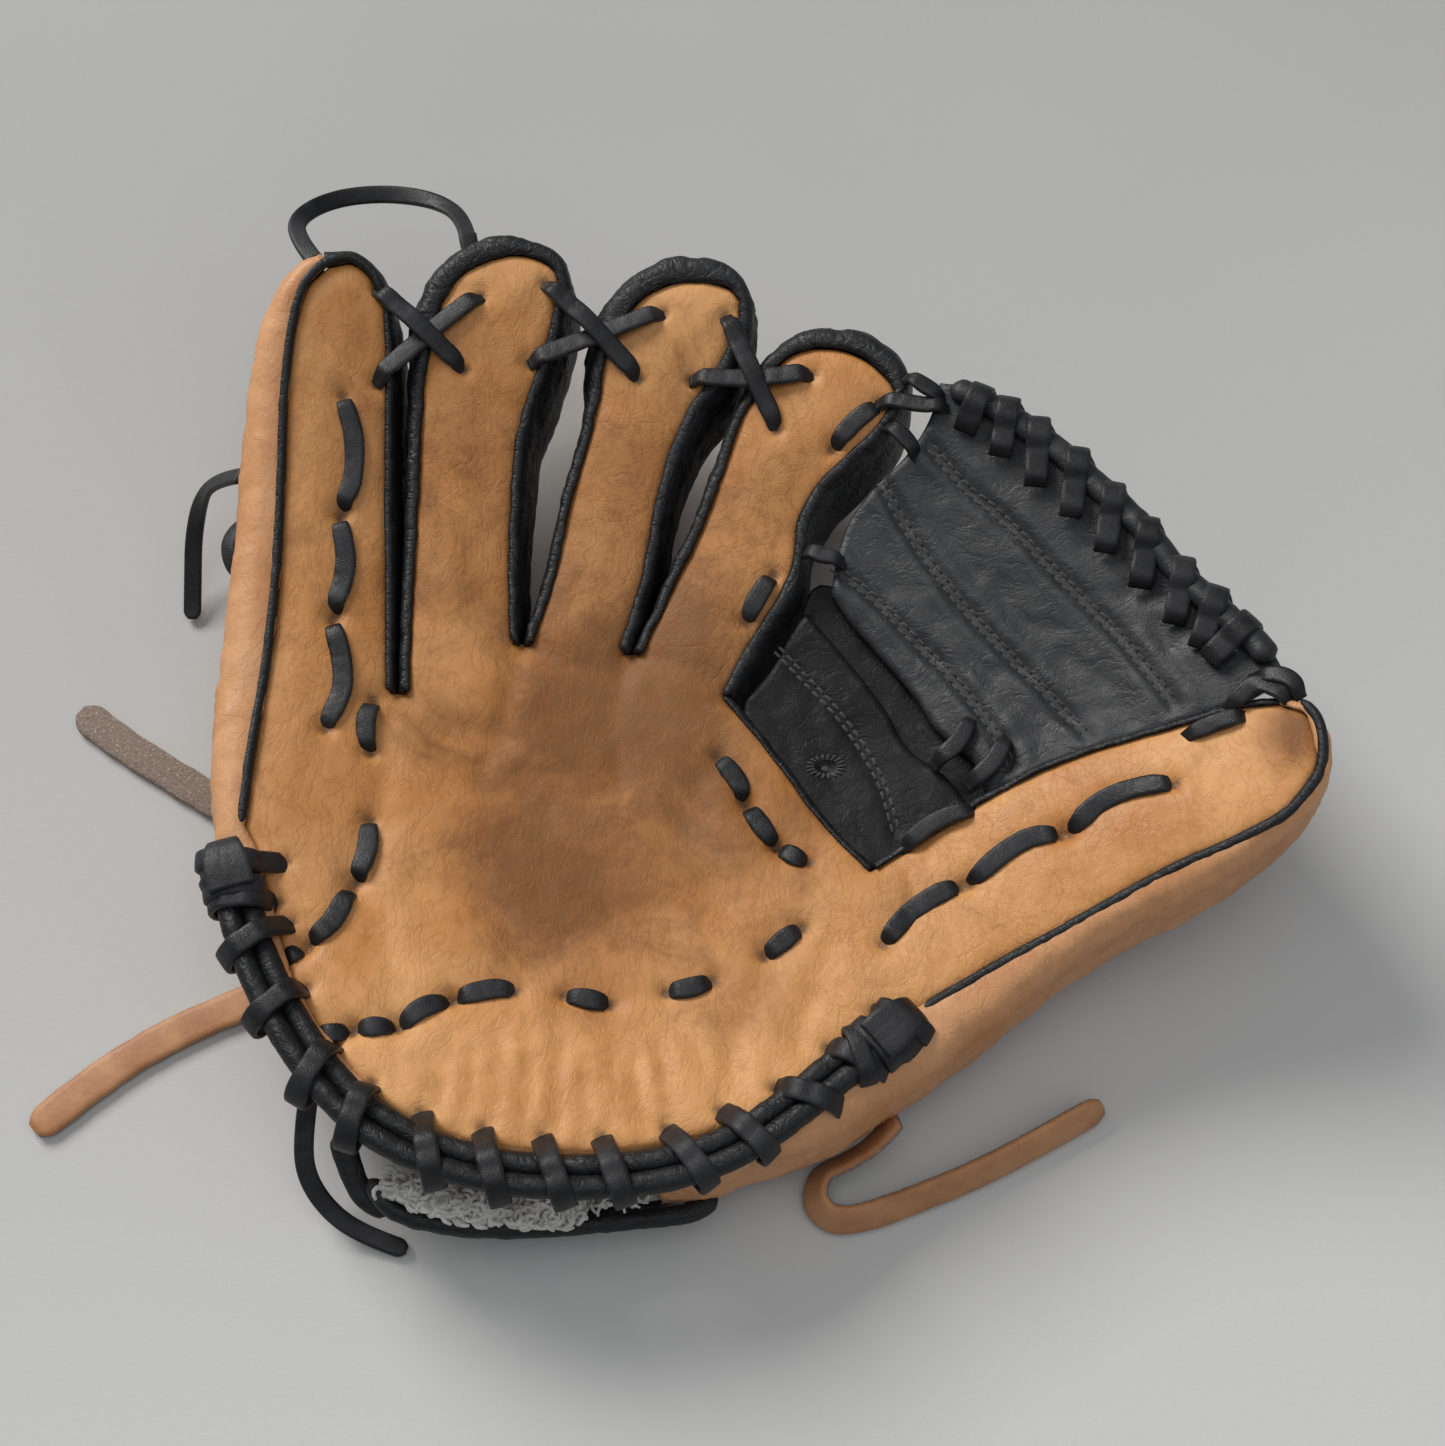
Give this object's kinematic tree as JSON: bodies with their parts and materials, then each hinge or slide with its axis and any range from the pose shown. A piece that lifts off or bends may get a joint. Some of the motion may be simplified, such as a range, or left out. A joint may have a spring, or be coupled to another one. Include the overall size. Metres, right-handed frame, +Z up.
{
  "type": "baseball fielders glove",
  "caption": "Leather baseball fielding glove, open on its back: padded palm with separate finger stalls, closed laced web, rolled and whip-laced heel, wrist strap.",
  "frame": {"origin": "centre of the flat rest face under the palm, below the middle of the pocket", "axes": "+Z up, away from the surface the glove lies on; +X towards the thumb, across the palm; +Y towards the fingertips"},
  "size_m": [0.3087, 0.2714, 0.0688],
  "materials": {
    "tan_leather": "worn tan cowhide",
    "black_leather": "black trim leather",
    "web_leather": "creased black leather",
    "black_lace": "waxed rawhide lace",
    "tan_thong": "tan thong, suede on one side",
    "felt_pad": "pressed felt",
    "palm_lining": "soft lining leather",
    "fleece": "matted fleece"
  },
  "bodies": {
    "palm": {"palm_leather": "tan_leather", "palm_pad": "felt_pad", "palm_lining": "palm_lining", "ring_gusset": "black_leather", "ring_back": "tan_leather", "ring_tip_cap": "black_leather", "middle_gusset": "black_leather", "middle_back": "tan_leather", "middle_tip_cap": "black_leather", "index_gusset": "black_leather", "index_back": "tan_leather", "index_tip_cap": "black_leather", "hand_back_panel": "tan_leather", "web_side_gusset": "black_leather", "wrist_strap": "black_leather", "strap_fleece": "fleece", "strap_binding": "black_leather", "strap_anchor_pinky": "black_leather", "strap_anchor_thumb": "black_leather", "heel_roll_inner": "black_leather", "heel_roll_outer": "black_leather", "heel_whip_lace": "black_lace", "palm_lace": "black_lace", "pinky_ring_lace": "black_lace", "ring_middle_lace": "black_lace", "middle_index_lace": "black_lace", "web_upper_panel": "web_leather", "web_lower_panel": "web_leather", "web_top_roll": "black_leather", "web_whip_lace": "black_lace", "index_web_lace": "black_lace", "web_thumb_lace": "black_lace", "web_base_lace": "black_lace", "wrist_thong_long": "tan_thong", "wrist_thong_short": "tan_thong"},
    "pinky": {"pinky_leather": "tan_leather", "pinky_pad": "felt_pad", "pinky_back": "tan_leather", "pinky_gusset": "black_leather", "pinky_outer_leather": "tan_leather", "pinky_welt": "black_leather", "pinky_lace": "black_lace", "pinky_heel_roll_inner": "black_leather", "pinky_heel_roll_outer": "black_leather", "pinky_whip_lace": "black_lace", "heel_lace_tail": "black_lace", "finger_lace_tail": "black_lace", "fingertip_loop": "black_lace"},
    "thumb": {"thumb_leather": "tan_leather", "thumb_pad": "felt_pad", "thumb_back": "tan_leather", "thumb_gusset": "black_leather", "thumb_outer_leather": "tan_leather", "thumb_welt": "black_leather", "thumb_lace": "black_lace", "thumb_heel_roll_inner": "black_leather", "thumb_heel_roll_outer": "black_leather", "thumb_whip_lace": "black_lace", "thumb_thong": "tan_thong"}
  },
  "joints": [
    {"name": "pinky_fold", "type": "hinge", "parent": "palm", "child": "pinky", "pos_m": [-0.066, -0.074, 0.0402], "axis": [0, 0.9976, 0.0695], "range_deg": [-3, 22], "deforming": ["pinky_ring_lace", "fingertip_loop"]},
    {"name": "thumb_fold", "type": "hinge", "parent": "palm", "child": "thumb", "pos_m": [0.051, -0.011, 0.0292], "axis": [-0.3702, -0.9255, 0.0797], "range_deg": [-6, 35], "deforming": ["web_upper_panel", "web_lower_panel", "web_top_roll", "web_whip_lace", "index_web_lace", "web_thumb_lace", "web_base_lace"]}
  ]
}
